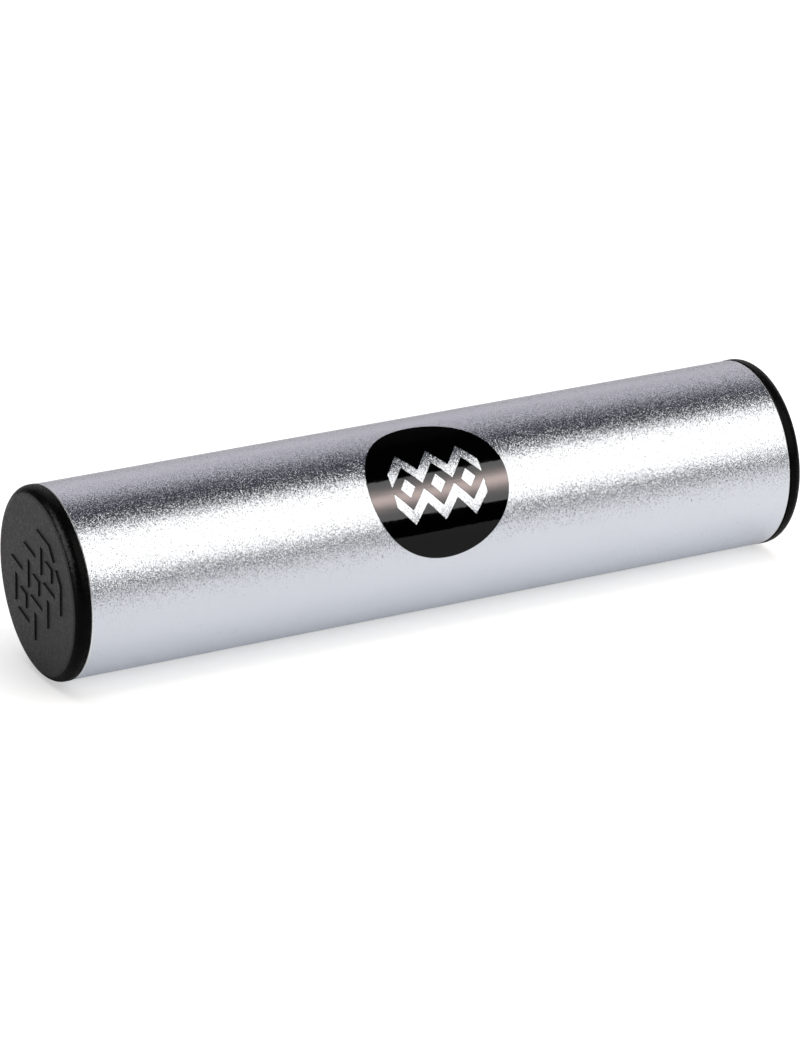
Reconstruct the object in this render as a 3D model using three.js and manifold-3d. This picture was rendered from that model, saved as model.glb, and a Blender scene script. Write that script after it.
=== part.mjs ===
// Percussion shaker: an aluminium tube closed by two moulded plastic caps, with
// a round film label on its front and loose steel shot inside.
// Millimetres, +Z up. The tube lies along X, with the label towards -Y and up.
// The origin is under the middle of the tube, on the surface that it lies on.
import * as THREE from 'three';
import { mergeVertices } from 'three/addons/utils/BufferGeometryUtils.js';
import Module from 'manifold-3d';

// Round pieces share one number of flat sides, and one lies on the ground
const sides = 72;

// Tube
const tubeOuterRadius = 25;
const tubeWall = 1.2;
const tubeLength = 202;
const tubeEdgeChamfer = 0.3;

// Caps: a rounded rim that covers the tube's end, and a hollow plug inside it
const capRimProud = 0.15;
const capRimHeight = 4;
const capEdgeRadius = 2.7;
const capFaceWall = 2.2;
const capSeatGap = 0.05;
const plugLength = 10;
const plugWall = 2;
const plugClearance = 0.25;
const plugBeadClearance = 0.05;
const plugBeadWidth = 1.6;
const plugBeadPlace = 5;
const plugLeadIn = 0.8;
const edgeSteps = 4;

// Ornament: two mirrored zigzags with diamonds between them, raised on the caps
// and cut out of the label
const zigzagWidth = 26;
const zigzagPeaks = 3;
const zigzagRise = 5.2;
const zigzagStroke = 3.8;
const zigzagGap = 1.4;
const diamondWidth = 4.2;
const diamondHeight = 5.2;
const capOrnamentScale = 1.2;
const capOrnamentRelief = 0.4;
const capOrnamentRoot = 0.6;
const leftOrnamentTurn = -37;
const rightOrnamentTurn = 20;

// Label film, wrapped on the tube's wall: angles run from +Z towards -Y
const labelRadius = 19.7;
const labelAlong = -1.6;
const labelAngle = 51;
const labelGap = 0.02;
const labelThickness = 0.1;
const labelMargin = 2;
const wallStep = 1.4;
const labelSteps = 64;

// Shot: rows of steel balls along the bottom of the bore
const ballRadius = 3;
const ballDetail = 1;
const ballGap = 0.3;
const ballsPerRow = 10;
const rowNames = ['a', 'b', 'c', 'd', 'e'];
const rowRestShares = [0.28, 0.6, 0.42, 0.7, 0.35];
const stopGap = 0.3;

// Sizes that follow
const boreRadius = tubeOuterRadius - tubeWall;
const capRadius = tubeOuterRadius + capRimProud;
const capFaceRadius = capRadius - capEdgeRadius;
const plugRadius = boreRadius - plugClearance;
const plugBeadRadius = boreRadius - plugBeadClearance;
const capPlace = tubeLength / 2 + capSeatGap + capRimHeight;
const plugEnd = tubeLength / 2 + capSeatGap - plugLength;
const halfSide = Math.PI / sides;
const axisHeight = capRadius * Math.cos(halfSide);
const ballPitch = 2 * ballRadius + ballGap;
const rowRadius = boreRadius * Math.cos(halfSide) - ballRadius - ballGap;
const rowAngleStep = 2 * Math.asin(ballPitch / (2 * rowRadius));
const rowLength = (ballsPerRow - 1) * ballPitch + 2 * ballRadius;
const rowTravel = 2 * (plugEnd - stopGap) - rowLength;

const aluminium = { color: 0xc9ccd4, roughness: 0.38, metalness: 1 };
const capPlastic = { color: 0x1d1d20, roughness: 0.55, metalness: 0 };
const labelFilm = { color: 0x050505, roughness: 0.08, metalness: 0 };
const shotSteel = { color: 0xb4b6b8, roughness: 0.2, metalness: 1 };

const wasm = await Module();
wasm.setup();

const radians = THREE.MathUtils.degToRad;
const mergeTolerance = 1e-4;

// Turns a closed geometry into a solid that can be cut and joined
function solidFrom(geometry) {
  const bare = geometry.clone();
  bare.deleteAttribute('normal');
  bare.deleteAttribute('uv');
  const merged = mergeVertices(bare, mergeTolerance);
  const corners = merged.index.array;
  const triangles = [];
  for (let i = 0; i < corners.length; i += 3) {
    const [a, b, c] = [corners[i], corners[i + 1], corners[i + 2]];
    if (a !== b && b !== c && c !== a) triangles.push(a, b, c);
  }
  return new wasm.Manifold(new wasm.Mesh({
    numProp: 3,
    vertProperties: new Float32Array(merged.attributes.position.array),
    triVerts: new Uint32Array(triangles),
  }));
}

// Turns a solid back into a geometry
function geometryFrom(solid) {
  const mesh = solid.getMesh();
  const geometry = new THREE.BufferGeometry();
  geometry.setAttribute('position', new THREE.BufferAttribute(mesh.vertProperties, 3));
  geometry.setIndex(new THREE.BufferAttribute(mesh.triVerts, 1));
  geometry.computeVertexNormals();
  return geometry;
}

// Turns a profile of [radius, along] points about the Y axis
function turned(profile) {
  const points = profile.map(([radius, along]) => new THREE.Vector2(radius, along));
  return new THREE.LatheGeometry(points, sides, halfSide);
}

// Profile of a square ring between two radii and two places along the axis
function ringProfile(innerRadius, outerRadius, start, end) {
  return [
    [innerRadius, start],
    [outerRadius, start],
    [outerRadius, end],
    [innerRadius, end],
    [innerRadius, start],
  ];
}

// Outline of one zigzag stroke, as [across, up] points
function zigzagOutline(side) {
  const corners = 2 * zigzagPeaks;
  const middle = (zigzagGap + zigzagStroke + zigzagRise) / 2;
  const edge = (shift) => Array.from({ length: corners + 1 }, (_, i) => {
    const swing = i % 2 === 0 ? -zigzagRise / 2 : zigzagRise / 2;
    return [zigzagWidth * (i / corners - 0.5), side * (middle + swing) + shift];
  });
  return [...edge(-zigzagStroke / 2), ...edge(zigzagStroke / 2).reverse()];
}

// Outline of the diamond between one pair of peaks, as [across, up] points
function diamondOutline(peak) {
  const centre = zigzagWidth * ((peak + 0.5) / zigzagPeaks - 0.5);
  return [
    [centre - diamondWidth / 2, 0],
    [centre, -diamondHeight / 2],
    [centre + diamondWidth / 2, 0],
    [centre, diamondHeight / 2],
  ];
}

// Every outline of the ornament, at a scale
function ornamentOutlines(scale) {
  const outlines = [zigzagOutline(1), zigzagOutline(-1)];
  for (let peak = 0; peak < zigzagPeaks; peak += 1) {
    outlines.push(diamondOutline(peak));
  }
  return outlines.map((outline) => outline.map(([across, up]) => [across * scale, up * scale]));
}

// Outline of the round label, as [along, round] points
function labelOutline() {
  const points = [];
  for (let step = 0; step < labelSteps; step += 1) {
    const angle = (2 * Math.PI * step) / labelSteps;
    points.push([labelRadius * Math.cos(angle), labelRadius * Math.sin(angle)]);
  }
  return points;
}

// Outline with points added along its sides, none further apart than a step
function refined(outline, step) {
  return outline.flatMap(([x, y], i) => {
    const [nextX, nextY] = outline[(i + 1) % outline.length];
    const parts = Math.ceil(Math.hypot(nextX - x, nextY - y) / step);
    return Array.from({ length: parts }, (_, part) => [
      x + ((nextX - x) * part) / parts,
      y + ((nextY - y) * part) / parts,
    ]);
  });
}

// Solid that stands on an outline drawn on the tube's wall, from one radius to another
function wallPrism(drawn, innerRadius, outerRadius) {
  const outline = refined(drawn, wallStep);
  const turns = outline.map(([, round]) => round / tubeOuterRadius);
  const positions = [];
  for (const radius of [innerRadius, outerRadius]) {
    outline.forEach(([along], i) => {
      const angle = radians(labelAngle) + turns[i];
      positions.push(radius * Math.sin(angle), labelAlong + along, radius * Math.cos(angle));
    });
  }
  const count = outline.length;
  const flat = outline.map(([along], i) => new THREE.Vector2(along, Math.sin(turns[i])));
  const triangles = [];
  for (const [a, b, c] of THREE.ShapeUtils.triangulateShape(flat, [])) {
    triangles.push(a, b, c);
    triangles.push(count + a, count + c, count + b);
  }
  for (let i = 0; i < count; i += 1) {
    const next = (i + 1) % count;
    triangles.push(i, count + i, next);
    triangles.push(next, count + i, count + next);
  }
  const geometry = new THREE.BufferGeometry();
  geometry.setAttribute('position', new THREE.Float32BufferAttribute(positions, 3));
  geometry.setIndex(triangles);
  return solidFrom(geometry);
}

// Tube with a small chamfer on its outer edges
function tubeGeometry() {
  const end = tubeLength / 2;
  return turned([
    [boreRadius, -end],
    [tubeOuterRadius - tubeEdgeChamfer, -end],
    [tubeOuterRadius, -end + tubeEdgeChamfer],
    [tubeOuterRadius, end - tubeEdgeChamfer],
    [tubeOuterRadius - tubeEdgeChamfer, end],
    [boreRadius, end],
    [boreRadius, -end],
  ]);
}

// Cap with its outer face at 0 and its plug towards +Y, before the ornament
function capBody() {
  const plugTip = capRimHeight + plugLength;
  const beadStart = capRimHeight + plugBeadPlace - plugBeadWidth / 2;
  const profile = [[0, 0]];
  for (let step = 0; step <= edgeSteps; step += 1) {
    const angle = (Math.PI / 2) * (step / edgeSteps);
    profile.push([
      capFaceRadius + capEdgeRadius * Math.sin(angle),
      capEdgeRadius * (1 - Math.cos(angle)),
    ]);
  }
  profile.push(
    [capRadius, capRimHeight],
    [plugRadius, capRimHeight],
    [plugRadius, beadStart],
    [plugBeadRadius, beadStart + plugBeadWidth / 2],
    [plugRadius, beadStart + plugBeadWidth],
    [plugRadius, plugTip - plugLeadIn],
    [plugRadius - plugLeadIn, plugTip],
    [plugRadius - plugWall, plugTip],
    [plugRadius - plugWall, capFaceWall],
    [0, capFaceWall],
  );
  return solidFrom(turned(profile));
}

// Cap with the raised ornament on its face, turned by an angle about its middle
function capGeometry(ornamentTurn) {
  let cap = capBody();
  for (const outline of ornamentOutlines(capOrnamentScale)) {
    const shape = new THREE.Shape(outline.map(([x, y]) => new THREE.Vector2(x, y)));
    const raised = new THREE.ExtrudeGeometry(shape, {
      depth: capOrnamentRelief + capOrnamentRoot,
      bevelEnabled: false,
    });
    raised.rotateX(Math.PI / 2);
    raised.translate(0, capOrnamentRoot, 0);
    raised.rotateY(radians(ornamentTurn));
    cap = cap.add(solidFrom(raised));
  }
  return geometryFrom(cap);
}

// Label film with the ornament cut out of it
function labelGeometry() {
  const inside = tubeOuterRadius + labelGap;
  const outside = inside + labelThickness;
  const start = labelAlong - labelRadius - labelMargin;
  const end = labelAlong + labelRadius + labelMargin;
  const prismStart = tubeOuterRadius / 2;
  const prismEnd = tubeOuterRadius * 2;
  const ring = solidFrom(turned(ringProfile(inside, outside, start, end)));
  let film = ring.intersect(wallPrism(labelOutline(), prismStart, prismEnd));
  for (const outline of ornamentOutlines(1)) {
    film = film.subtract(wallPrism(outline, prismStart, prismEnd));
  }
  return geometryFrom(film);
}

// Named mesh with a material of its own
function piece(name, geometry, finish) {
  const mesh = new THREE.Mesh(geometry, new THREE.MeshStandardMaterial(finish));
  mesh.name = name;
  return mesh;
}

// Row of balls that lie in line along the bore, one of several beside each other
function shotRow(index) {
  const row = new THREE.Group();
  const angle = Math.PI + (index - (rowNames.length - 1) / 2) * rowAngleStep;
  const firstBall = -plugEnd + stopGap + rowRestShares[index] * rowTravel + ballRadius;
  row.position.set(rowRadius * Math.sin(angle), firstBall, rowRadius * Math.cos(angle));
  for (let ball = 0; ball < ballsPerRow; ball += 1) {
    const number = String(ball + 1).padStart(2, '0');
    const name = `steel_ball_${rowNames[index]}${number}`;
    const mesh = piece(name, new THREE.IcosahedronGeometry(ballRadius, ballDetail), shotSteel);
    mesh.position.y = ball * ballPitch;
    row.add(mesh);
  }
  return row;
}

// The whole shaker, built upright along Y and then laid along X
const shaker = new THREE.Group();
shaker.rotation.z = -Math.PI / 2;
shaker.position.z = axisHeight;

const tube = piece('tube_shell', tubeGeometry(), aluminium);
const leftCap = piece('left_end_cap', capGeometry(leftOrnamentTurn), capPlastic);
leftCap.position.y = -capPlace;
const rightCap = piece('right_end_cap', capGeometry(rightOrnamentTurn), capPlastic);
rightCap.position.y = capPlace;
rightCap.rotation.x = Math.PI;
const label = piece('round_label', labelGeometry(), labelFilm);

shaker.add(tube, leftCap, rightCap, label);
rowNames.forEach((name, index) => shaker.add(shotRow(index)));

const group = new THREE.Group();
group.add(shaker);

export default group;
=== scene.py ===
"""Looks of the percussion shaker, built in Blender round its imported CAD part.

The shaker lies along X on the floor, as in the CAD frame. Sizes in the classes of its pieces
and finishes are in millimetres, and they become metres where a mesh or a node is made. The
studio's are in metres. Angles are in degrees, and those round the tube run from straight up, 0,
towards the front side of the tube at -Y, 90.
"""

import logging
import math
from collections.abc import Callable, Iterator, Mapping, Sequence
from contextlib import contextmanager
from dataclasses import dataclass, field
from enum import Enum
from typing import Any

import bmesh
import bpy
from mathutils import Matrix, Vector

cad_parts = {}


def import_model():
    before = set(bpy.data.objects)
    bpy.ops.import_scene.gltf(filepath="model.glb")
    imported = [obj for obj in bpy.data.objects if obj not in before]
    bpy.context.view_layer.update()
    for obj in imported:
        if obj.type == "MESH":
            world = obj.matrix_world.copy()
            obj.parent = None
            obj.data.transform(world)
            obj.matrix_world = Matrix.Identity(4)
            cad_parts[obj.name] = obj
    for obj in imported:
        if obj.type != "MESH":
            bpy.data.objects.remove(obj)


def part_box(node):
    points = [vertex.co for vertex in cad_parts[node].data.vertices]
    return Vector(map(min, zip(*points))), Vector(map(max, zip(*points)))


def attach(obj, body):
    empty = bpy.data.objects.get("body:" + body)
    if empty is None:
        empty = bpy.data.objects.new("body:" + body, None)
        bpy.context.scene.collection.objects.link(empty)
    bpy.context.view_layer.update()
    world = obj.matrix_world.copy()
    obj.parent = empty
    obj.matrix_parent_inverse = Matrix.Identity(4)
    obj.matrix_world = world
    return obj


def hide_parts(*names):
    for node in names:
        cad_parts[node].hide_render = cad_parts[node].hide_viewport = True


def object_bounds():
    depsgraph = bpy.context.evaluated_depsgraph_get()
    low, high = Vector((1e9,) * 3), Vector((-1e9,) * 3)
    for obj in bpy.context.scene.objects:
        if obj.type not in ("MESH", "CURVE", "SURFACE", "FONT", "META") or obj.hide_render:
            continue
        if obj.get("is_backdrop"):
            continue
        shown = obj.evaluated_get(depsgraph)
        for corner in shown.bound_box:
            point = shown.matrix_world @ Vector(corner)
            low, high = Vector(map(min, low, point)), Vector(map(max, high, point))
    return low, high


log = logging.getLogger("shaker")

# A millimetre, and how far apart two places may be and still count as one, both in metres
MM = 0.001
NEAR = 0.005 * MM

# Height of the tube's axis above the floor, in millimetres
AXIS_HEIGHT = 25.126

# Least slope of the normal of a level face
LEVEL = 0.999

# Least angles between two faces, in radians, at which their edge counts as bent and as sharp
BENT = 0.1
SHARP = 1.0

# Weight of the strong faces in smoothed normals, in percent
STRONG_FACES = 100

# Middle of a pattern that runs from 0 to 1
MIDDLE = 0.5

# Parts of a noise pattern that are spread over a finish's range of roughness
WIDE_PART = (0.3, 0.7)
NARROW_PART = (0.35, 0.65)

# Colour sockets of Blender's Mix node, two for input and one for output
MIX_FIRST, MIX_SECOND, MIX_RESULT = 6, 7, 2

WHITE = (1.0, 1.0, 1.0)

Pair = tuple[float, float]
Triple = tuple[float, float, float]
Colour = Triple
Pattern = bpy.types.NodeSocket


class Element(Enum):
    """Kind of mesh element that an edit acts on."""

    VERTEX = "VERT"
    EDGE = "EDGE"
    FACE = "FACE"


class Side(Enum):
    """End of the tube that a cap closes. The value is its direction along X."""

    LEFT = -1
    RIGHT = 1


class Slot(Enum):
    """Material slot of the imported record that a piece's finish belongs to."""

    TUBE = "tube_metal"
    CAP = "cap_plastic"
    LABEL = "label_film"
    SHOT = "shot_steel"


# Modelling


class Workpiece:
    """Mesh that is shaped with Blender's own tools, starting from a primitive."""

    def __init__(self, name: str) -> None:
        """Takes the primitive that was just added.

        Args:
            name: Name of the piece and of its mesh.
        """
        self.object = bpy.context.active_object
        self.object.name = name
        self.object.data.name = name

    @staticmethod
    def clear_selection() -> None:
        """Leaves nothing selected, so that the next tool acts on its own piece alone."""
        bpy.ops.object.select_all(action="DESELECT")

    def activate(self) -> None:
        """Makes this piece the only one that tools act on."""
        self.clear_selection()
        self.object.select_set(True)
        bpy.context.view_layer.objects.active = self.object

    @contextmanager
    def editing(self) -> Iterator[None]:
        """Holds the piece in edit mode while its block runs."""
        self.activate()
        bpy.ops.object.mode_set(mode="EDIT")
        yield
        bpy.ops.object.mode_set(mode="OBJECT")

    def pick(self, kind: Element, test: Callable[[Any], bool] = lambda item: True) -> None:
        """Selects the elements that pass a test, in edit mode.

        Args:
            kind: Vertices, edges or faces.
            test: Says whether an element is wanted.
        """
        bpy.ops.mesh.select_mode(type=kind.value)
        bpy.ops.mesh.select_all(action="DESELECT")
        mesh = bmesh.from_edit_mesh(self.object.data)
        items = {Element.VERTEX: mesh.verts, Element.EDGE: mesh.edges, Element.FACE: mesh.faces}
        for item in items[kind]:
            if test(item):
                item.select_set(True)
        mesh.select_flush_mode()
        bmesh.update_edit_mesh(self.object.data)

    def bevel(self, width: float, segments: int) -> None:
        """Rounds the picked edges.

        Args:
            width: Width of the round in millimetres.
            segments: Number of strips across it.
        """
        bpy.ops.mesh.bevel(offset=width * MM, segments=segments, affect="EDGES")

    def inset(self, width: float) -> None:
        """Insets the picked faces as one region, by a width in millimetres."""
        bpy.ops.mesh.inset(thickness=width * MM)

    def extrude(self, rise: float, ratio: float = 1.0) -> None:
        """Extrudes the picked faces along Z and scales them about the Z axis.

        Args:
            rise: Distance along Z in millimetres.
            ratio: New size over the old size.
        """
        shift = {"value": (0.0, 0.0, rise * MM)}
        bpy.ops.mesh.extrude_region_move(TRANSFORM_OT_translate=shift)
        if ratio != 1.0:
            bpy.ops.transform.resize(value=(ratio, ratio, 1.0), center_override=(0.0, 0.0, 0.0))

    def slice(self, places: Sequence[float], normal: Sequence[float]) -> None:
        """Cuts the whole mesh along parallel planes, and keeps both sides of each.

        Args:
            places: Distances of the planes from the origin, in millimetres.
            normal: Direction that the planes face.
        """
        for place in places:
            self.pick(Element.FACE)
            point = [place * MM * part for part in normal]
            bpy.ops.mesh.bisect(plane_co=point, plane_no=normal)

    def apply(self, kind: str, **settings: Any) -> None:
        """Adds a modifier and applies it.

        Args:
            kind: Blender's name for the modifier.
            settings: Its settings.
        """
        self.activate()
        modifier = self.object.modifiers.new(kind.title(), kind)
        for name, value in settings.items():
            setattr(modifier, name, value)
        bpy.ops.object.modifier_apply(modifier=modifier.name)

    def combine(self, tool: "Workpiece", operation: str) -> None:
        """Joins another solid to this one or cuts it away, and deletes that solid.

        Args:
            tool: The other solid.
            operation: UNION or DIFFERENCE.
        """
        self.apply("BOOLEAN", operation=operation, solver="EXACT", object=tool.object)
        bpy.data.objects.remove(tool.object)

    def join(self, others: Sequence["Workpiece"]) -> None:
        """Takes other pieces into this mesh.

        Args:
            others: The other pieces, which are no pieces of their own afterwards.
        """
        self.activate()
        for other in others:
            other.object.select_set(True)
        bpy.ops.object.join()

    def place(self, matrix: Matrix) -> None:
        """Moves the piece and writes its new place into the mesh.

        Args:
            matrix: The move, on top of where the piece is.
        """
        self.activate()
        self.object.matrix_world = matrix @ self.object.matrix_world
        bpy.ops.object.transform_apply(location=True, rotation=True, scale=True)

    def smooth(self, angle: float) -> None:
        """Shades the piece smooth up to an angle, with flat faces kept flat.

        Args:
            angle: Sharpest edge in degrees that is still shaded smooth.
        """
        self.activate()
        bpy.ops.object.shade_smooth_by_angle(angle=math.radians(angle))
        self.apply("WEIGHTED_NORMAL", keep_sharp=True, weight=STRONG_FACES)

    def dress(self, finish: bpy.types.Material, slot: Slot, body: str, *nodes: str) -> None:
        """Gives the finished piece its material and its place in the part.

        Args:
            finish: Material of the whole piece.
            slot: Slot of the record that the finish belongs to. Not used.
            body: CAD body that the piece moves with.
            nodes: CAD nodes that it stands for.
        """
        self.object.data.materials.clear()
        self.object.data.materials.append(finish)
        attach(self.object, body)
        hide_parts(*nodes)
        faces = len(self.object.data.polygons)
        log.info("%s: %d faces, moves with %s", self.object.name, faces, body)

    def paint(
        self, finish: bpy.types.Material, test: Callable[[bpy.types.MeshPolygon], bool]
    ) -> None:
        """Gives some faces of a dressed piece a finish of their own.

        Args:
            finish: Material of those faces.
            test: Says whether a face is one of them.
        """
        mesh = self.object.data
        mesh.materials.append(finish)
        for face in mesh.polygons:
            if test(face):
                face.material_index = len(mesh.materials) - 1


# Finishes


class NodeSheet:
    """Node tree of one material or of the world, with short calls to fill it."""

    def __init__(self, tree: bpy.types.NodeTree) -> None:
        """Empties a node tree.

        Args:
            tree: The tree to fill.
        """
        self.tree = tree
        tree.nodes.clear()

    @classmethod
    def material(cls, name: str) -> tuple[bpy.types.Material, "NodeSheet"]:
        """Starts a material.

        Args:
            name: Name of the material.

        Returns:
            The material and its empty sheet.
        """
        made = bpy.data.materials.new(name)
        made.use_nodes = True
        return made, cls(made.node_tree)

    def add(self, kind: str, inputs: Mapping[str | int, Any], **settings: Any) -> bpy.types.Node:
        """Adds a node.

        Args:
            kind: Blender's name for the node, after ShaderNode.
            inputs: Its input sockets by name or number, each with a value or a socket.
            settings: Its other settings.

        Returns:
            The node.
        """
        node = self.tree.nodes.new("ShaderNode" + kind)
        for name, value in settings.items():
            setattr(node, name, value)
        for key, value in inputs.items():
            if isinstance(value, bpy.types.NodeSocket):
                self.tree.links.new(value, node.inputs[key])
            else:
                node.inputs[key].default_value = value
        return node

    def place(self) -> Pattern:
        """Socket with the place on the piece, in metres."""
        return self.add("TexCoord", {}).outputs["Object"]

    def calc(self, operation: str, first: Any, second: Any = 0.0, clamp: bool = False) -> Pattern:
        """Works out one number from one or two.

        Args:
            operation: Blender's name for the operation.
            first: Number or socket.
            second: Number or socket, where the operation takes two.
            clamp: Keeps the result between 0 and 1.

        Returns:
            Socket with the result.
        """
        node = self.add("Math", {0: first, 1: second}, operation=operation, use_clamp=clamp)
        return node.outputs[0]

    def vector(self, operation: str, inputs: Mapping[str | int, Any]) -> bpy.types.Node:
        """Adds a node that works on vectors, with Blender's name for its operation."""
        return self.add("VectorMath", inputs, operation=operation)

    def noise(
        self, size: float, detail: float = 2.0, stretch: Triple = (1.0, 1.0, 1.0)
    ) -> bpy.types.Node:
        """Adds smooth noise over the piece.

        Args:
            size: Rough size of its features in millimetres.
            detail: Number of finer layers.
            stretch: Share of that fineness along X, Y and Z.

        Returns:
            The noise node.
        """
        place = self.add("Mapping", {"Vector": self.place(), "Scale": stretch})
        inputs = {"Vector": place.outputs["Vector"], "Scale": 1 / (size * MM), "Detail": detail}
        return self.add("TexNoise", inputs)

    def spread(self, pattern: Pattern, low: float, high: float, ends: Pair) -> Pattern:
        """Maps a pattern from one range to another, held at its ends.

        Args:
            pattern: Socket with the pattern.
            low: Pattern value at the first end.
            high: Pattern value at the second end.
            ends: Result at each end.

        Returns:
            Socket with the result.
        """
        inputs = {0: pattern, 1: low, 2: high, 3: ends[0], 4: ends[1]}
        return self.add("MapRange", inputs, interpolation_type="SMOOTHSTEP").outputs[0]

    def blend(self, share: Pattern, first: Colour, second: Colour) -> Pattern:
        """Mixes two colours over the piece.

        Args:
            share: Socket with the share of the second colour.
            first: Colour at 0.
            second: Colour at 1.

        Returns:
            Socket with the mixed colour.
        """
        inputs = {"Factor": share, MIX_FIRST: (*first, 1.0), MIX_SECOND: (*second, 1.0)}
        return self.add("Mix", inputs, data_type="RGBA").outputs[MIX_RESULT]

    def facets(self, size: float) -> Pattern:
        """Breaks the surface into grains, each with a random colour.

        Args:
            size: Rough size of a grain in millimetres.

        Returns:
            Socket with the random colour.
        """
        cells = {"Vector": self.place(), "Scale": 1 / (size * MM)}
        return self.add("TexVoronoi", cells).outputs["Color"]

    def tilted(self, leans: Sequence[tuple[Pattern, float, float]]) -> Pattern:
        """Tilts the surface by random colours, as small facets do.

        Args:
            leans: For each tilt a socket with a random colour, how far it tilts the surface, and
                a power, above 0 where most grains tilt little and a few tilt far.

        Returns:
            Socket with the tilted surface direction.
        """
        normal = self.add("NewGeometry", {}).outputs["Normal"]
        for colour, reach, power in leans:
            shifted = self.vector("SUBTRACT", {0: colour, 1: (MIDDLE, MIDDLE, MIDDLE)}).outputs[0]
            scale = reach
            if power:
                length = self.vector("LENGTH", {0: shifted}).outputs["Value"]
                share = self.calc("POWER", self.calc("MULTIPLY", length, 1 / MIDDLE), power)
                scale = self.calc("MULTIPLY", share, reach)
            lean = self.vector("SCALE", {0: shifted, "Scale": scale}).outputs[0]
            normal = self.vector("ADD", {0: normal, 1: lean}).outputs[0]
        return self.vector("NORMALIZE", {0: normal}).outputs[0]

    def surface(self, inputs: Mapping[str | int, Any]) -> None:
        """Ends a material with its shader.

        Args:
            inputs: Inputs of the Principled shader.
        """
        shader = self.add("BsdfPrincipled", inputs)
        self.add("OutputMaterial", {"Surface": shader.outputs[0]})


@dataclass(frozen=True)
class BlastedAluminium:
    """Blasted and clear-anodised aluminium: a fine grain that sparkles at the edges of lights.

    Its roughness stays below 0.273, from where the denoiser would smear the grain.
    """

    colour: Colour = (0.645, 0.672, 0.73)
    worn_colour: Colour = (0.615, 0.64, 0.695)
    roughness: Pair = (0.258, 0.271)
    grain_size: float = 0.18
    grain_tilt: float = 0.25
    grain_power: float = 1.8
    grain_share: float = 0.7
    blotch_size: float = 14.0
    blotch_detail: float = 3.0
    blotch_stretch: Triple = (0.5, 1.0, 1.0)

    def material(self) -> bpy.types.Material:
        """Makes the tube's material.

        Returns:
            The material.
        """
        made, sheet = NodeSheet.material("blasted_aluminium")
        blotch = sheet.noise(self.blotch_size, self.blotch_detail, self.blotch_stretch).outputs[0]
        grain = sheet.facets(self.grain_size)
        single = sheet.add("SeparateXYZ", {0: grain}).outputs[0]
        worn = sheet.calc(
            "ADD",
            sheet.calc("MULTIPLY", single, self.grain_share),
            sheet.calc("MULTIPLY", blotch, 1 - self.grain_share),
        )
        sheet.surface({
            "Base Color": sheet.blend(worn, self.colour, self.worn_colour),
            "Metallic": 1.0,
            "Roughness": sheet.spread(blotch, *WIDE_PART, self.roughness),
            "Normal": sheet.tilted([(grain, self.grain_tilt, self.grain_power)]),
        })
        return made


@dataclass(frozen=True)
class CutAluminium:
    """Bare aluminium of the tube's ends, cut after the blasting and broken with a file."""

    colour: Colour = (0.86, 0.865, 0.87)
    dull_colour: Colour = (0.74, 0.745, 0.755)
    roughness: Pair = (0.38, 0.52)
    mark_size: float = 0.5
    mark_tilt: float = 0.12

    def material(self) -> bpy.types.Material:
        """Makes the material of the tube's edges.

        Returns:
            The material.
        """
        made, sheet = NodeSheet.material("cut_aluminium")
        marks = sheet.noise(self.mark_size)
        sheet.surface({
            "Base Color": sheet.blend(marks.outputs[0], self.colour, self.dull_colour),
            "Metallic": 1.0,
            "Roughness": sheet.spread(marks.outputs[0], *NARROW_PART, self.roughness),
            "Normal": sheet.tilted([(marks.outputs["Color"], self.mark_tilt, 0.0)]),
        })
        return made


@dataclass(frozen=True)
class MouldedPlastic:
    """Black plastic out of a spark-eroded mould, with a fine matt grain."""

    name: str
    colour: Colour
    worn_colour: Colour
    specular: float
    roughness: Pair
    grain_size: float = 0.32
    grain_tilt: float = 0.16
    grain_power: float = 1.0
    mottle_size: float = 1.1
    mottle_detail: float = 4.0
    mottle_tilt: float = 0.1

    def material(self) -> bpy.types.Material:
        """Makes the material of a part of the caps.

        Returns:
            The material.
        """
        made, sheet = NodeSheet.material(self.name)
        mottle = sheet.noise(self.mottle_size, self.mottle_detail)
        grain = sheet.facets(self.grain_size)
        sheet.surface({
            "Base Color": sheet.blend(mottle.outputs[0], self.colour, self.worn_colour),
            "Roughness": sheet.spread(mottle.outputs[0], *WIDE_PART, self.roughness),
            "Specular IOR Level": self.specular,
            "Normal": sheet.tilted([
                (grain, self.grain_tilt, self.grain_power),
                (mottle.outputs["Color"], self.mottle_tilt, 0.0),
            ]),
        })
        return made


@dataclass(frozen=True)
class GlossFilm:
    """Black gloss film that is slightly uneven, as the grain under it shows through."""

    colour: Colour = (0.0008, 0.0008, 0.0009)
    print_colour: Colour = (0.0014, 0.0014, 0.0015)
    specular: float = 0.22
    roughness: Pair = (0.045, 0.08)
    grain_size: float = 1.1
    grain_tilt: float = 0.02
    wave_size: float = 7.0
    wave_detail: float = 1.0
    wave_tilt: float = 0.03

    def material(self) -> bpy.types.Material:
        """Makes the label's material.

        Returns:
            The material.
        """
        made, sheet = NodeSheet.material("gloss_film")
        wave = sheet.noise(self.wave_size, self.wave_detail)
        grain = sheet.noise(self.grain_size)
        sheet.surface({
            "Base Color": sheet.blend(grain.outputs[0], self.colour, self.print_colour),
            "Roughness": sheet.spread(grain.outputs[0], *NARROW_PART, self.roughness),
            "Specular IOR Level": self.specular,
            "Normal": sheet.tilted([
                (grain.outputs["Color"], self.grain_tilt, 0.0),
                (wave.outputs["Color"], self.wave_tilt, 0.0),
            ]),
        })
        return made


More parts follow.
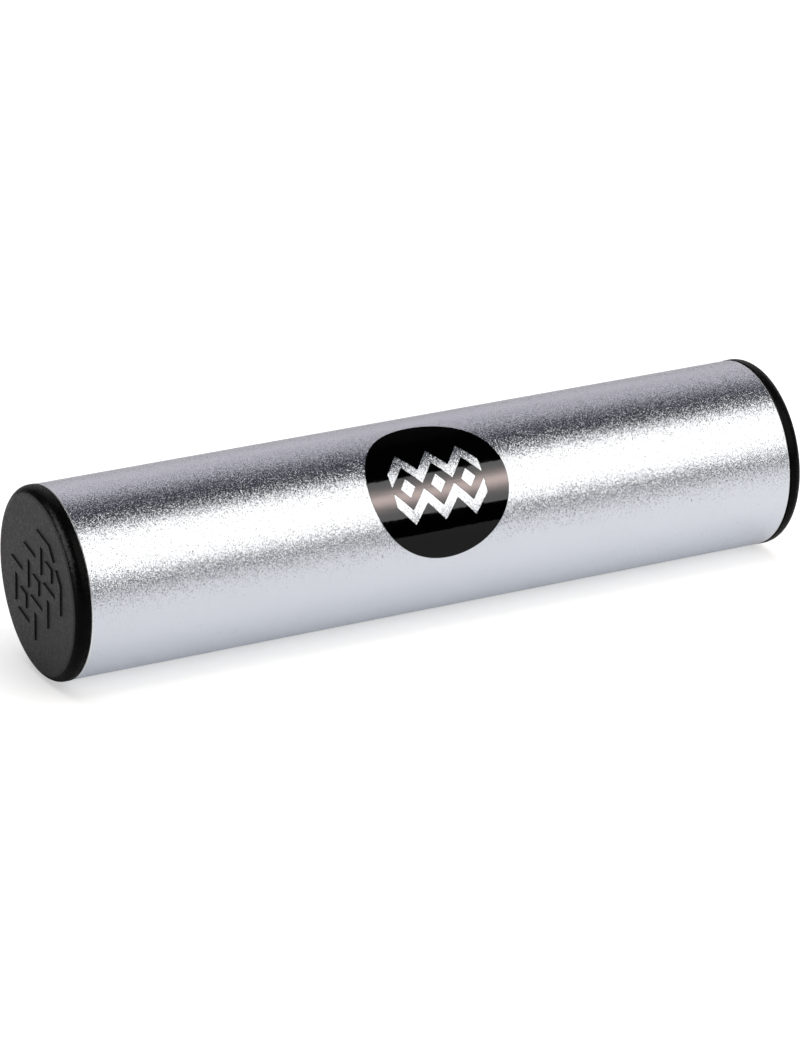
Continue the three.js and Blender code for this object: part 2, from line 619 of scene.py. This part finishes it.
@dataclass(frozen=True)
class TumbledSteel:
    """Steel of the shot, bright from tumbling, with a light haze of fine dents."""

    colour: Colour = (0.56, 0.565, 0.57)
    dull_colour: Colour = (0.44, 0.44, 0.45)
    roughness: Pair = (0.14, 0.3)
    haze_size: float = 1.2
    haze_detail: float = 4.0
    dent_size: float = 0.35
    dent_tilt: float = 0.08

    def material(self) -> bpy.types.Material:
        """Makes the shot's material.

        Returns:
            The material.
        """
        made, sheet = NodeSheet.material("tumbled_steel")
        haze = sheet.noise(self.haze_size, self.haze_detail).outputs[0]
        dents = sheet.noise(self.dent_size).outputs["Color"]
        sheet.surface({
            "Base Color": sheet.blend(haze, self.colour, self.dull_colour),
            "Metallic": 1.0,
            "Roughness": sheet.spread(haze, *NARROW_PART, self.roughness),
            "Normal": sheet.tilted([(dents, self.dent_tilt, 0.0)]),
        })
        return made


# Pieces


def flat_normal(face: bmesh.types.BMFace, direction: int) -> bool:
    """Says whether a face looks straight along Z, up for 1 and down for -1."""
    return face.normal.z * direction > LEVEL


def ring_edge(edge: bmesh.types.BMEdge, height: float, radius: float) -> bool:
    """Says whether an edge lies on a circle about Z.

    Args:
        edge: The edge.
        height: Height of the circle in millimetres.
        radius: Its radius in millimetres.

    Returns:
        Whether both ends of the edge are on the circle.
    """
    return all(
        abs(vertex.co.z - height * MM) < NEAR
        and abs(vertex.co.xy.length - radius * MM) < NEAR
        for vertex in edge.verts
    )


def top_edge(edge: bmesh.types.BMEdge, top: float) -> bool:
    """Says whether an edge goes round a flat top at a height in millimetres."""
    level = all(abs(vertex.co.z - top * MM) < NEAR for vertex in edge.verts)
    return level and edge.calc_face_angle(0.0) > SHARP


@dataclass(frozen=True)
class Ornament:
    """Two mirrored zigzags with a row of diamonds between them."""

    width: float = 26.0
    peaks: int = 3
    rise: float = 5.2
    stroke: float = 3.8
    gap: float = 1.4
    diamond_width: float = 4.2
    diamond_height: float = 5.2
    corner_strips: int = 3
    edge_strips: int = 2

    def solid(
        self, scale: float, bottom: float, top: float, corner: float, edge: float
    ) -> Workpiece:
        """Builds the whole ornament as upright walls on the XY plane.

        Args:
            scale: Size over the drawn size.
            bottom: Lowest height in millimetres.
            top: Highest height in millimetres.
            corner: Radius of the upright corners, or 0.
            edge: Radius of the top edges, or 0.

        Returns:
            One mesh with a closed solid for each shape.
        """
        shapes = [self._zigzag(side, scale, bottom) for side in (1, -1)]
        shapes += [self._diamond(peak, scale, bottom) for peak in range(self.peaks)]
        first, *others = shapes
        first.join(others)
        with first.editing():
            first.pick(Element.FACE)
            first.extrude(top - bottom)
            bpy.ops.mesh.select_all(action="SELECT")
            bpy.ops.mesh.normals_make_consistent(inside=False)
            if corner:
                first.pick(Element.EDGE, self._is_corner)
                first.bevel(corner, self.corner_strips)
            if edge:
                first.pick(Element.EDGE, lambda item: top_edge(item, top))
                first.bevel(edge, self.edge_strips)
        return first

    def _zigzag(self, side: int, scale: float, height: float) -> Workpiece:
        """Draws one zigzag as a strip of flat faces.

        Args:
            side: 1 for the zigzag above the diamonds, -1 for the one below.
            scale: Size over the drawn size.
            height: Height of the strip in millimetres.

        Returns:
            The strip.
        """
        steps = 2 * self.peaks
        low = side * (self.gap + self.stroke) / 2
        Workpiece.clear_selection()
        bpy.ops.mesh.primitive_grid_add(
            x_subdivisions=steps,
            y_subdivisions=1,
            size=1.0,
            location=(0.0, low * scale * MM, height * MM),
        )
        strip = Workpiece("zigzag")
        strip.object.scale = (self.width * scale * MM, self.stroke * scale * MM, 1.0)
        strip.place(Matrix())
        step = self.width * scale * MM / steps
        with strip.editing():
            strip.pick(Element.VERTEX, lambda item: round(item.co.x / step + self.peaks) % 2 == 1)
            bpy.ops.transform.translate(value=(0.0, side * self.rise * scale * MM, 0.0))
        return strip

    def _diamond(self, peak: int, scale: float, height: float) -> Workpiece:
        """Draws one diamond as a flat face.

        Args:
            peak: Number of the pair of peaks that it lies between.
            scale: Size over the drawn size.
            height: Height of the face in millimetres.

        Returns:
            The face.
        """
        along = self.width * ((peak + 0.5) / self.peaks - 0.5)
        Workpiece.clear_selection()
        bpy.ops.mesh.primitive_circle_add(
            vertices=4,
            radius=1.0,
            fill_type="NGON",
            location=(along * scale * MM, 0.0, height * MM),
        )
        diamond = Workpiece("diamond")
        half = scale * MM / 2
        diamond.object.scale = (self.diamond_width * half, self.diamond_height * half, 1.0)
        diamond.place(Matrix())
        return diamond

    @staticmethod
    def _is_corner(edge: bmesh.types.BMEdge) -> bool:
        """Says whether an edge is an upright corner of a shape."""
        upright = (edge.verts[1].co - edge.verts[0].co).xy.length < NEAR
        return upright and edge.calc_face_angle(0.0) > BENT


@dataclass(frozen=True)
class Tube:
    """Straight aluminium tube with its edges just broken."""

    radius: float = 25.0
    wall: float = 1.2
    length: float = 202.0
    edge: float = 0.4
    edge_strips: int = 4
    sides: int = 320
    smooth_angle: float = 40.0
    node: str = "tube_shell"

    def build(self) -> Workpiece:
        """Builds the tube in place.

        Returns:
            The finished tube.
        """
        Workpiece.clear_selection()
        bpy.ops.mesh.primitive_cylinder_add(
            vertices=self.sides,
            radius=self.radius * MM,
            depth=self.length * MM,
            end_fill_type="NOTHING",
        )
        tube = Workpiece("aluminium_tube")
        tube.apply("SOLIDIFY", thickness=self.wall * MM, offset=-1.0, use_even_offset=True)
        end = self.length / 2
        radii = (self.radius, self.radius - self.wall)
        with tube.editing():
            tube.pick(
                Element.EDGE,
                lambda item: any(
                    ring_edge(item, height, radius) for height in (-end, end) for radius in radii
                ),
            )
            tube.bevel(self.edge, self.edge_strips)
        onto_axis = Matrix.Translation((0.0, 0.0, AXIS_HEIGHT * MM))
        tube.place(onto_axis @ Matrix.Rotation(math.pi / 2, 4, "Y"))
        tube.smooth(self.smooth_angle)
        return tube

    def is_cut(self, face: bpy.types.MeshPolygon) -> bool:
        """Says whether a face belongs to the cut ends and their rounded edges."""
        return abs(face.center.x) > (self.length / 2 - self.edge) * MM


@dataclass(frozen=True)
class EndCap:
    """Moulded cap: a rounded rim, a hollow plug with a bead and a raised ornament."""

    side: Side
    ornament_turn: float
    ornament: Ornament = field(default_factory=Ornament)
    sides: int = 256
    radius: float = AXIS_HEIGHT
    face_place: float = 105.05
    rim_height: float = 4.0
    edge_radius: float = 2.7
    edge_strips: int = 12
    back_edge: float = 0.35
    # From this depth behind the face the rim takes the darker plastic: a smoother finish and also
    # painted shade
    textured_depth: float = 0.2
    face_wall: float = 2.2
    plug_radius: float = 23.55
    plug_length: float = 10.0
    plug_wall: float = 2.0
    lead_in: float = 0.8
    bead_radius: float = 23.75
    bead_place: float = 5.0
    bead_width: float = 1.6
    bead_round: float = 0.4
    root_radius: float = 0.8
    small_strips: int = 4
    ornament_scale: float = 1.2
    relief: float = 0.4
    relief_root: float = 0.6
    relief_corner: float = 0.2
    relief_edge: float = 0.1
    smooth_angle: float = 40.0

    @property
    def name(self) -> str:
        """Name of the cap, after its end of the tube."""
        return f"{self.side.name.lower()}_cap"

    @property
    def node(self) -> str:
        """CAD node that the cap stands for."""
        return f"{self.side.name.lower()}_end_cap"

    def build(self) -> Workpiece:
        """Builds the cap with its face up at the origin, and then turns it onto the tube.

        Returns:
            The finished cap.
        """
        Workpiece.clear_selection()
        bpy.ops.mesh.primitive_cylinder_add(
            vertices=self.sides,
            radius=self.radius * MM,
            depth=self.rim_height * MM,
            location=(0.0, 0.0, -self.rim_height / 2 * MM),
        )
        cap = Workpiece(self.name)
        cap.place(Matrix())
        with cap.editing():
            self._grow_plug(cap)
            self._round_edges(cap)
        raised = self.ornament.solid(
            scale=self.ornament_scale,
            bottom=-self.relief_root,
            top=self.relief,
            corner=self.relief_corner,
            edge=self.relief_edge,
        )
        raised.place(Matrix.Rotation(math.radians(self.ornament_turn), 4, "Z"))
        cap.combine(raised, "UNION")
        sign = self.side.value
        onto_tube = Matrix.Translation((sign * self.face_place * MM, 0.0, AXIS_HEIGHT * MM))
        cap.place(onto_tube @ Matrix.Rotation(sign * math.pi / 2, 4, "Y"))
        cap.smooth(self.smooth_angle)
        return cap

    def is_smooth_rim_painted_shade(self, face: bpy.types.MeshPolygon) -> bool:
        """Says whether a face lies behind the textured front of the cap, on the rim that takes the
        painted shade.
        """
        return abs(face.center.x) < (self.face_place - self.textured_depth) * MM

    def _grow_plug(self, cap: Workpiece) -> None:
        """Draws the hollow plug out of the rim's inner face, ring by ring, in edit mode.

        Args:
            cap: The cap, which is only its rim so far.
        """
        cap.pick(Element.FACE, lambda item: flat_normal(item, -1))
        cap.inset(self.radius - self.plug_radius)
        bead_start = self.bead_place - self.bead_width / 2
        rings = [
            (bead_start, self.plug_radius),
            (self.bead_place, self.bead_radius),
            (bead_start + self.bead_width, self.plug_radius),
            (self.plug_length - self.lead_in, self.plug_radius),
            (self.plug_length, self.plug_radius - self.lead_in),
        ]
        place, radius = 0.0, self.plug_radius
        for next_place, next_radius in rings:
            cap.extrude(place - next_place, next_radius / radius)
            place, radius = next_place, next_radius
        cap.inset(self.plug_wall - self.lead_in)
        cap.extrude(self.rim_height + self.plug_length - self.face_wall)

    def _round_edges(self, cap: Workpiece) -> None:
        """Rounds the rim's two edges, the bead and the bottom of the plug, in edit mode.

        Args:
            cap: The cap with its plug.
        """
        bead = -self.rim_height - self.bead_place
        cap.pick(Element.EDGE, lambda item: ring_edge(item, bead, self.bead_radius))
        cap.bevel(self.bead_round, self.small_strips)
        inner = self.plug_radius - self.plug_wall
        cap.pick(Element.EDGE, lambda item: ring_edge(item, -self.face_wall, inner))
        cap.bevel(self.root_radius, self.small_strips)
        cap.pick(Element.EDGE, lambda item: ring_edge(item, -self.rim_height, self.radius))
        cap.bevel(self.back_edge, self.small_strips)
        cap.pick(Element.EDGE, lambda item: ring_edge(item, 0.0, self.radius))
        cap.bevel(self.edge_radius, self.edge_strips)


@dataclass(frozen=True)
class Label:
    """Round film on the front of the tube, with the ornament cut out of it."""

    ornament: Ornament = field(default_factory=Ornament)
    radius: float = 19.7
    along: float = -1.6
    angle: float = 51.0
    tube_radius: float = Tube.radius
    gap: float = 0.02
    thickness: float = 0.1
    edge: float = 0.03
    edge_strips: int = 1
    corner: float = 0.15
    sides: int = 240
    strips: int = 60
    cutter_reach: float = 1.0
    smooth_angle: float = 30.0
    node: str = "round_label"

    def build(self) -> Workpiece:
        """Cuts the film flat, bends it to the tube's radius and lays it on the wall.

        Returns:
            The finished label.
        """
        Workpiece.clear_selection()
        bpy.ops.mesh.primitive_cylinder_add(
            vertices=self.sides,
            radius=self.radius * MM,
            depth=self.thickness * MM,
            location=(0.0, 0.0, (self.gap + self.thickness / 2) * MM),
        )
        film = Workpiece("label_film")
        film.place(Matrix())
        cutter = self.ornament.solid(
            scale=1.0,
            bottom=-self.cutter_reach,
            top=self.cutter_reach,
            corner=self.corner,
            edge=0.0,
        )
        film.combine(cutter, "DIFFERENCE")
        top = self.gap + self.thickness
        with film.editing():
            film.pick(Element.EDGE, lambda item: top_edge(item, top))
            film.bevel(self.edge, self.edge_strips)
            step = 2 * self.radius / self.strips
            places = [step * (strip - self.strips / 2) for strip in range(1, self.strips)]
            film.slice(places, (0.0, 1.0, 0.0))
        self._wrap(film)
        film.smooth(self.smooth_angle)
        return film

    def _wrap(self, film: Workpiece) -> None:
        """Bends the flat film and moves it onto the tube's wall.

        The bend turns X round Z, with the tube's axis on the side of +Y.

        Args:
            film: The flat film.
        """
        film.place(Matrix(((0, -1, 0, 0), (0, 0, -1, 0), (1, 0, 0, 0), (0, 0, 0, 1))))
        film.apply(
            "SIMPLE_DEFORM",
            deform_method="BEND",
            deform_axis="Z",
            angle=2 * self.radius / self.tube_radius,
        )
        angle = math.radians(self.angle)
        round_wall = Vector((0.0, -math.cos(angle), -math.sin(angle)))
        outward = Vector((0.0, -math.sin(angle), math.cos(angle)))
        wall = Matrix((round_wall, -outward, (1.0, 0.0, 0.0))).transposed().to_4x4()
        wall.translation = outward * self.tube_radius * MM
        wall.translation += Vector((self.along * MM, 0.0, AXIS_HEIGHT * MM))
        film.place(wall)


@dataclass(frozen=True)
class Shot:
    """Loose steel shot: rows of balls at the bottom of the bore, each with its own motion."""

    radius: float = 3.0
    cuts: int = 8
    flat: float = 0.012
    rows: tuple[str, ...] = ("a", "b", "c", "d", "e")
    balls: int = 10

    def build(self) -> Iterator[tuple[Workpiece, str, str]]:
        """Builds a ball at each CAD ball.

        Yields:
            The ball, the body that it rides on and the CAD node that it stands for.
        """
        for row in self.rows:
            for number in range(1, self.balls + 1):
                node = f"steel_ball_{row}{number:02d}"
                low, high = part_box(node)
                ball = self._ball(f"shot_ball_{row}{number:02d}")
                ball.place(Matrix.Translation((low + high) / 2))
                yield ball, f"shot_row_{row}", node

    def _ball(self, name: str) -> Workpiece:
        """Shapes a ball out of a cube, with the small flats that heading leaves at its poles.

        Args:
            name: Name of the ball.

        Returns:
            The ball, centred on the origin.
        """
        Workpiece.clear_selection()
        bpy.ops.mesh.primitive_cube_add(size=2 * self.radius * MM)
        ball = Workpiece(name)
        with ball.editing():
            ball.pick(Element.FACE)
            bpy.ops.mesh.subdivide(number_cuts=self.cuts - 1)
            bpy.ops.transform.tosphere(value=1.0)
            corners = bmesh.from_edit_mesh(ball.object.data).verts
            ratio = self.radius * MM / max(corner.co.length for corner in corners)
            bpy.ops.transform.resize(value=(ratio, ratio, ratio), center_override=(0.0, 0.0, 0.0))
            limit = (self.radius - self.flat) * MM
            ball.pick(Element.VERTEX, lambda item: abs(item.co.z) > limit)
            bpy.ops.transform.resize(
                value=(1.0, 1.0, 1 - self.flat / self.radius), center_override=(0.0, 0.0, 0.0)
            )
        ball.activate()
        bpy.ops.object.shade_smooth()
        return ball


# Studio


@dataclass(frozen=True)
class Lamp:
    """Rectangular lamp that the camera doesn't see, set by its radiance.

    A lamp for some pieces alone is only mirrored by them, and doesn't light their matt colour.
    """

    name: str
    place: Triple
    size: Pair
    radiance: float
    colour: Colour = WHITE
    aim: Triple = (0.0, 0.0, AXIS_HEIGHT * MM)
    fades: bool = False
    mirrored: bool = True
    lights_only: tuple[str, ...] = ()
    spares: tuple[str, ...] = ()

    @classmethod
    def along_tube(
        cls,
        name: str,
        angles: Pair,
        ends: Pair,
        radiance: float,
        distance: float = 1.2,
        **settings: Any,
    ) -> "Lamp":
        """Makes a long lamp in front of the tube, set by the angles that it fills from its axis.

        Args:
            name: Name of the lamp.
            angles: Lower and upper angle in the YZ plane, from the front horizon, 0 degrees, up.
            ends: Its two ends along X in metres.
            radiance: Its radiance.
            distance: Its distance from the tube's axis in metres.
            settings: Other fields of the lamp.

        Returns:
            The lamp.
        """
        middle, half = math.radians(sum(angles) / 2), math.radians((angles[1] - angles[0]) / 2)
        along, height = sum(ends) / 2, AXIS_HEIGHT * MM
        place = (along, -distance * math.cos(middle), height + distance * math.sin(middle))
        size = (ends[1] - ends[0], 2 * distance * math.tan(half))
        return cls(name, place, size, radiance, aim=(along, 0.0, height), **settings)

    def build(self) -> None:
        """Makes the lamp and turns it towards its aim."""
        bpy.ops.object.light_add(type="AREA", location=self.place)
        lamp = bpy.context.active_object
        lamp.name = self.name
        toward = Vector(self.aim) - Vector(self.place)
        lamp.rotation_euler = toward.to_track_quat("-Z", "Y").to_euler()
        lamp.data.shape = "RECTANGLE"
        lamp.data.size, lamp.data.size_y = self.size
        lamp.data.color = self.colour
        lamp.data.energy = self.radiance * math.pi * self.size[0] * self.size[1]
        lamp.visible_diffuse = not self.lights_only
        lamp.visible_glossy = self.mirrored
        if self.fades:
            self._fade(lamp.data)
        self.link(lamp, self.lights_only, self.spares)

    @staticmethod
    def link(light: bpy.types.Object, lights_only: Sequence[str], spares: Sequence[str]) -> None:
        """Keeps a light to its own pieces, or away from the pieces that it spares.

        Args:
            light: Lamp, or piece that glows.
            lights_only: Names of the only pieces that it lights, or none.
            spares: Names of the pieces that it doesn't light, or none.
        """
        if lights_only or spares:
            linked = bpy.data.collections.new(f"{light.name}_pieces")
            for name in (*lights_only, *spares):
                linked.objects.link(bpy.data.objects[name])
            for item in linked.collection_objects:
                item.light_linking.link_state = "EXCLUDE" if spares else "INCLUDE"
            light.light_linking.receiver_collection = linked

    @staticmethod
    def _fade(lamp: bpy.types.AreaLight, tube_share: float = 0.8, tube_power: float = 3.0) -> None:
        """Lets a lamp fade from its middle line to its long edges, like a tube behind a cloth.

        Args:
            lamp: The lamp.
            tube_share: Share of the tube in the glow of the middle line.
            tube_power: How much narrower the tube looks than the lit cloth.
        """
        lamp.use_nodes = True
        sheet = NodeSheet(lamp.node_tree)
        place = sheet.add("NewGeometry", {}).outputs["Parametric"]
        across = sheet.add("SeparateXYZ", {0: place}).outputs[1]
        off = sheet.calc("ABSOLUTE", sheet.calc("SUBTRACT", across, MIDDLE))
        cloth = sheet.spread(off, 0.0, MIDDLE, (1.0, 0.0))
        core = sheet.calc("MULTIPLY", sheet.calc("POWER", cloth, tube_power), tube_share)
        strength = sheet.calc("ADD", core, sheet.calc("MULTIPLY", cloth, 1 - tube_share))
        glow = sheet.add("Emission", {"Strength": strength})
        sheet.add("OutputLight", {"Surface": glow.outputs[0]})


@dataclass(frozen=True)
class Studio:
    """Camera, lights, pale floor and the room that the metal mirrors.

    The camera's place is in millimetres. The floor glows by the distance from its middle, and its
    mirrored glow goes by the place along Y: it is dimmed near and under the shaker, a painted
    shade in the metal, and tinted cooler there, a painted reflection tint.
    """

    azimuth: float = -27.55
    elevation: float = 21.23
    camera_place: Triple = (-526.01, -1003.54, 463.83)
    lens: float = 161.93
    sensor_width: float = 36.0
    floor_sides: int = 96
    floor_radius: float = 0.8
    floor_depth: float = 0.00005
    floor_colour: Colour = (0.8, 0.8, 0.8)
    floor_glow: Pair = (0.3, 1.0)
    glow_reach: Pair = (0.25, 0.75)
    # Painted shade in what the metal mirrors: the floor's mirrored glow dims near and under the
    # shaker along Y
    painted_near_reach: Pair = (-0.034, -0.02)
    painted_near_shade: Pair = (1.0, 0.96)
    # Painted reflection tint: the floor glow that the metal mirrors turns cooler near the shaker
    painted_reflection_tint: Colour = (0.92, 0.95, 1.0)
    painted_under_reach: Pair = (-0.0145, -0.003)
    painted_under_shade: Pair = (1.0, 0.3)
    black_pieces: tuple[str, ...] = ("label_film", "left_cap", "right_cap")
    backdrop_glow: float = 0.22
    box_ends: Pair = (-0.05, 1.8)
    # The label mirrors a narrower softbox than the metal does, with a warm tube in it
    lamps: tuple[Lamp, ...] = (
        Lamp.along_tube(
            "softbox",
            angles=(16.0, 75.2),
            ends=box_ends,
            radiance=2.03,
            colour=(1.0, 0.965, 0.9),
            spares=("label_film",),
        ),
        Lamp.along_tube(
            "label_softbox",
            angles=(20.2, 68.2),
            ends=box_ends,
            radiance=5.25,
            distance=1.195,
            lights_only=("label_film",),
        ),
        Lamp.along_tube(
            "warm_tube",
            angles=(22.3, 68.3),
            ends=box_ends,
            radiance=21.0,
            distance=1.19,
            colour=(1.0, 0.78, 0.73),
            fades=True,
            lights_only=("label_film",),
        ),
        Lamp(
            "cap_softbox",
            place=(-1.14, 0.02, 0.6),
            size=(1.1, 0.75),
            radiance=13.6,
            lights_only=("left_cap", "right_cap"),
        ),
        Lamp(
            "edge_softbox",
            place=(-1.13, 0.1, 0.64),
            size=(0.9, 0.75),
            radiance=2.6,
            lights_only=("aluminium_tube",),
        ),
        Lamp("overhead", place=(0.0, 0.0, 1.5), size=(1.4, 1.4), radiance=2.1, mirrored=False),
    )
    # Tones of the room, from the front horizon, 0, over the top to the back horizon, 1
    room_tones: tuple[tuple[float, Colour], ...] = (
        (0.0, (0.0, 0.006, 0.02)),
        (0.622, (0.0, 0.008, 0.026)),
        (0.69, (0.92, 0.874, 0.906)),
        (0.8, (0.86, 0.817, 0.847)),
        (0.88, (0.7, 0.665, 0.69)),
        (1.0, (0.64, 0.608, 0.63)),
    )
    dark_side: Pair = (-0.35, 0.05)
    dark_side_light: Pair = (0.06, 1.0)
    flag_place: float = 0.437
    flag_reach: Pair = (0.024, 0.05)
    flag_light: Pair = (0.03, 1.0)
    flag_top: Pair = (0.8, 0.84)

    def build(self) -> None:
        """Sets up the whole studio."""
        self._camera()
        for lamp in self.lamps:
            lamp.build()
        self._floor()
        self._world()
        bpy.context.scene.view_settings.view_transform = "Standard"

    def _camera(self) -> None:
        """Makes the camera at the photograph's viewing angle."""
        bpy.ops.object.camera_add(location=Vector(self.camera_place) * MM)
        camera = bpy.context.active_object
        turn, tip = math.radians(self.azimuth), math.radians(self.elevation)
        camera.rotation_euler = (math.pi / 2 - tip, 0.0, turn)
        camera.data.lens = self.lens
        camera.data.sensor_width = self.sensor_width
        bpy.context.scene.camera = camera

    def _floor(self) -> None:
        """Makes the pale floor, which glows more towards its rim so that it ends in white.

        The shaker mirrors a glow from near itself that is tinted cooler, a painted reflection
        tint, and dimmed under itself and from behind, a painted shade. The black pieces mirror
        none of it.
        """
        Workpiece.clear_selection()
        bpy.ops.mesh.primitive_circle_add(
            vertices=self.floor_sides,
            radius=self.floor_radius,
            fill_type="NGON",
            location=(0.0, 0.0, -self.floor_depth),
        )
        floor = Workpiece("floor")
        made, sheet = NodeSheet.material("pale_floor")
        distance = sheet.vector("LENGTH", {0: sheet.place()}).outputs["Value"]
        glow = sheet.spread(distance, *self.glow_reach, self.floor_glow)
        behind = sheet.add("SeparateXYZ", {0: sheet.place()}).outputs[1]
        # Painted shade: the glow that the metal mirrors is dimmed near and under the shaker
        near = sheet.spread(behind, *self.painted_near_reach, self.painted_near_shade)
        under = sheet.spread(behind, *self.painted_under_reach, self.painted_under_shade)
        direct = self._seen(sheet, ("Is Camera Ray", "Is Transmission Ray"))
        glossy = self._seen(sheet, ("Is Glossy Ray",))
        painted_shade = sheet.calc("MULTIPLY", near, under)
        even = sheet.calc("MULTIPLY", glossy, self.floor_glow[0])
        mirrored = sheet.calc("MULTIPLY", even, painted_shade)
        # Painted reflection tint: the glow that the metal mirrors turns cooler near the shaker
        cooler = sheet.spread(behind, *self.painted_near_reach, (0.0, 1.0))
        cool = sheet.calc("MULTIPLY", glossy, cooler)
        white = sheet.calc("MULTIPLY", direct, sheet.calc("ADD", glow, self.backdrop_glow))
        sheet.surface({
            "Base Color": (*self.floor_colour, 1.0),
            "Roughness": 1.0,
            "Specular IOR Level": 0.0,
            "Emission Color": sheet.blend(cool, WHITE, self.painted_reflection_tint),
            "Emission Strength": sheet.calc("ADD", white, mirrored),
        })
        floor.object.data.materials.append(made)
        Lamp.link(floor.object, (), self.black_pieces)
        floor.object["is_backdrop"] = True

    def _world(self) -> None:
        """Makes the room: white behind the shaker, and graded for what the shaker mirrors.

        The room goes from a pale back to a dark front and a dark left side. A narrow black flag
        hangs where the label would mirror the back.
        """
        world = bpy.data.worlds.new("studio_room")
        world.use_nodes = True
        bpy.context.scene.world = world
        sheet = NodeSheet(world.node_tree)
        toward = sheet.add("SeparateXYZ", {0: sheet.add("TexCoord", {}).outputs["Generated"]})
        front = sheet.calc("MULTIPLY", toward.outputs[1], -1.0)
        angle = sheet.calc("ARCTAN2", toward.outputs[2], front)
        share = sheet.calc("DIVIDE", angle, math.pi)
        tones = sheet.add("ValToRGB", {0: share})
        ramp = tones.color_ramp.elements
        for place, _ in self.room_tones[1:-1]:
            ramp.new(place)
        for stop, (place, tone) in zip(ramp, self.room_tones, strict=True):
            stop.position = place
            stop.color = (*tone, 1.0)
        sideways = toward.outputs[0]
        lit = sheet.spread(sideways, *self.dark_side, self.dark_side_light)
        off_flag = sheet.calc("ABSOLUTE", sheet.calc("SUBTRACT", sideways, self.flag_place))
        beside = sheet.spread(off_flag, *self.flag_reach, self.flag_light)
        clear = sheet.calc("MAXIMUM", beside, sheet.spread(share, *self.flag_top, (0.0, 1.0)))
        strength = sheet.calc("MULTIPLY", lit, clear)
        room = sheet.add("Background", {"Color": tones.outputs[0], "Strength": strength})
        white = sheet.add("Background", {0: (*WHITE, 1.0)})
        seen = self._seen(sheet, ("Is Camera Ray", "Is Transmission Ray"))
        mixed = sheet.add("MixShader", {0: seen, 1: room.outputs[0], 2: white.outputs[0]})
        sheet.add("OutputWorld", {0: mixed.outputs[0]})

    @staticmethod
    def _seen(sheet: NodeSheet, rays: Sequence[str]) -> Pattern:
        """Tells some kinds of ray from the others.

        Args:
            sheet: Sheet of the floor or the world.
            rays: Blender's names for those kinds of ray.

        Returns:
            Socket that is 1 for those kinds and 0 for the others.
        """
        path = sheet.add("LightPath", {})
        total = path.outputs[rays[0]]
        for ray in rays[1:]:
            total = sheet.calc("ADD", total, path.outputs[ray], clamp=True)
        return total


def build_shaker() -> None:
    """Builds every piece of the shaker, dresses it and puts it on its body."""
    shell = "shell"
    textured = MouldedPlastic(
        "textured_plastic",
        colour=(0.0068, 0.0061, 0.0096),
        worn_colour=(0.0112, 0.0102, 0.0145),
        specular=0.28,
        roughness=(0.36, 0.46),
    ).material()
    # A far darker copy of the caps' plastic with little specular, for the rim: partly a smoother
    # finish, partly painted shade on the rim
    smooth = MouldedPlastic(
        "smooth_plastic",
        colour=(0.0008, 0.0008, 0.0009),
        worn_colour=(0.0018, 0.0018, 0.002),
        specular=0.05,
        roughness=(0.28, 0.36),
    ).material()
    tube = Tube()
    piece = tube.build()
    piece.dress(BlastedAluminium().material(), Slot.TUBE, shell, tube.node)
    piece.paint(CutAluminium().material(), tube.is_cut)
    caps = (EndCap(Side.LEFT, ornament_turn=-53.0), EndCap(Side.RIGHT, ornament_turn=-110.0))
    for cap in caps:
        piece = cap.build()
        piece.dress(textured, Slot.CAP, shell, cap.node)
        # The rim takes the darker copy, a painted shade, and the face keeps the textured one
        piece.paint(smooth, cap.is_smooth_rim_painted_shade)
    label = Label()
    label.build().dress(GlossFilm().material(), Slot.LABEL, shell, label.node)
    steel = TumbledSteel().material()
    for ball, body, node in Shot().build():
        ball.dress(steel, Slot.SHOT, body, node)


def main() -> None:
    """Loads the frame, builds the shaker and the studio round it, and works out both sizes."""
    logging.basicConfig(level=logging.INFO, format="%(name)s: %(message)s")
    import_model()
    cad_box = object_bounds()
    build_shaker()
    Studio().build()
    boxes = {"cad": cad_box, "visual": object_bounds()}
    {name: [list(corner) for corner in box] for name, box in boxes.items()}


if __name__ == "__main__":
    main()
